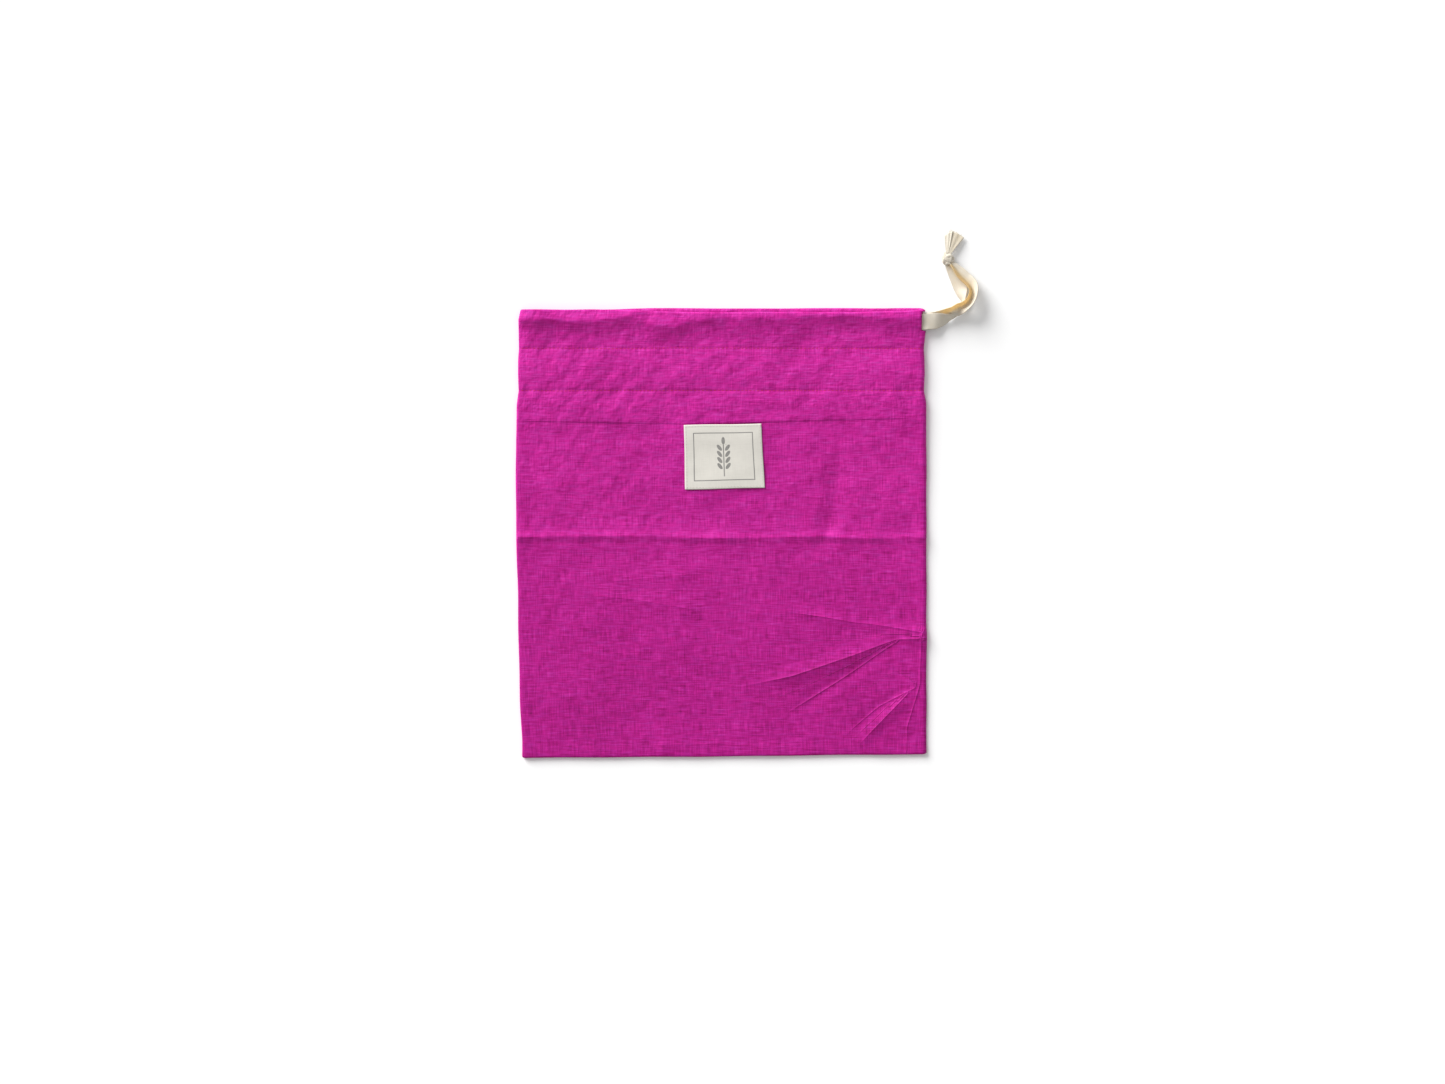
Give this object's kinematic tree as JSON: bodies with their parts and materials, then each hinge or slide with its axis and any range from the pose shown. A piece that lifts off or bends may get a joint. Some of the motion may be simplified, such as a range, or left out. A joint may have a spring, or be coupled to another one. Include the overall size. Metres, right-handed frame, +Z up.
{
  "type": "linen bread bag",
  "caption": "Flat-lying linen drawstring bag with a stitched casing, a sewn cotton label and a cotton tape knotted past its side slot.",
  "frame": {"origin": "centre of the bag's flat back where it lies on the surface, without the free tape ends, knot and tails", "axes": "+Z up from the surface through the bag, +Y towards the mouth, +X towards the seam where the tape comes out"},
  "size_m": [0.3415, 0.3891, 0.0132],
  "materials": {
    "linen": "matte",
    "label_cotton": "matte",
    "tape_cotton": "matte",
    "thread": "satin"
  },
  "bodies": {
    "root": {"bag": "linen", "label": "label_cotton", "tape_in_casing": "tape_cotton", "tape_end_upper": "tape_cotton", "tape_end_lower": "tape_cotton", "tape_knot": "tape_cotton", "tape_tail_left": "tape_cotton", "tape_tail_right": "tape_cotton"}
  },
  "joints": []
}
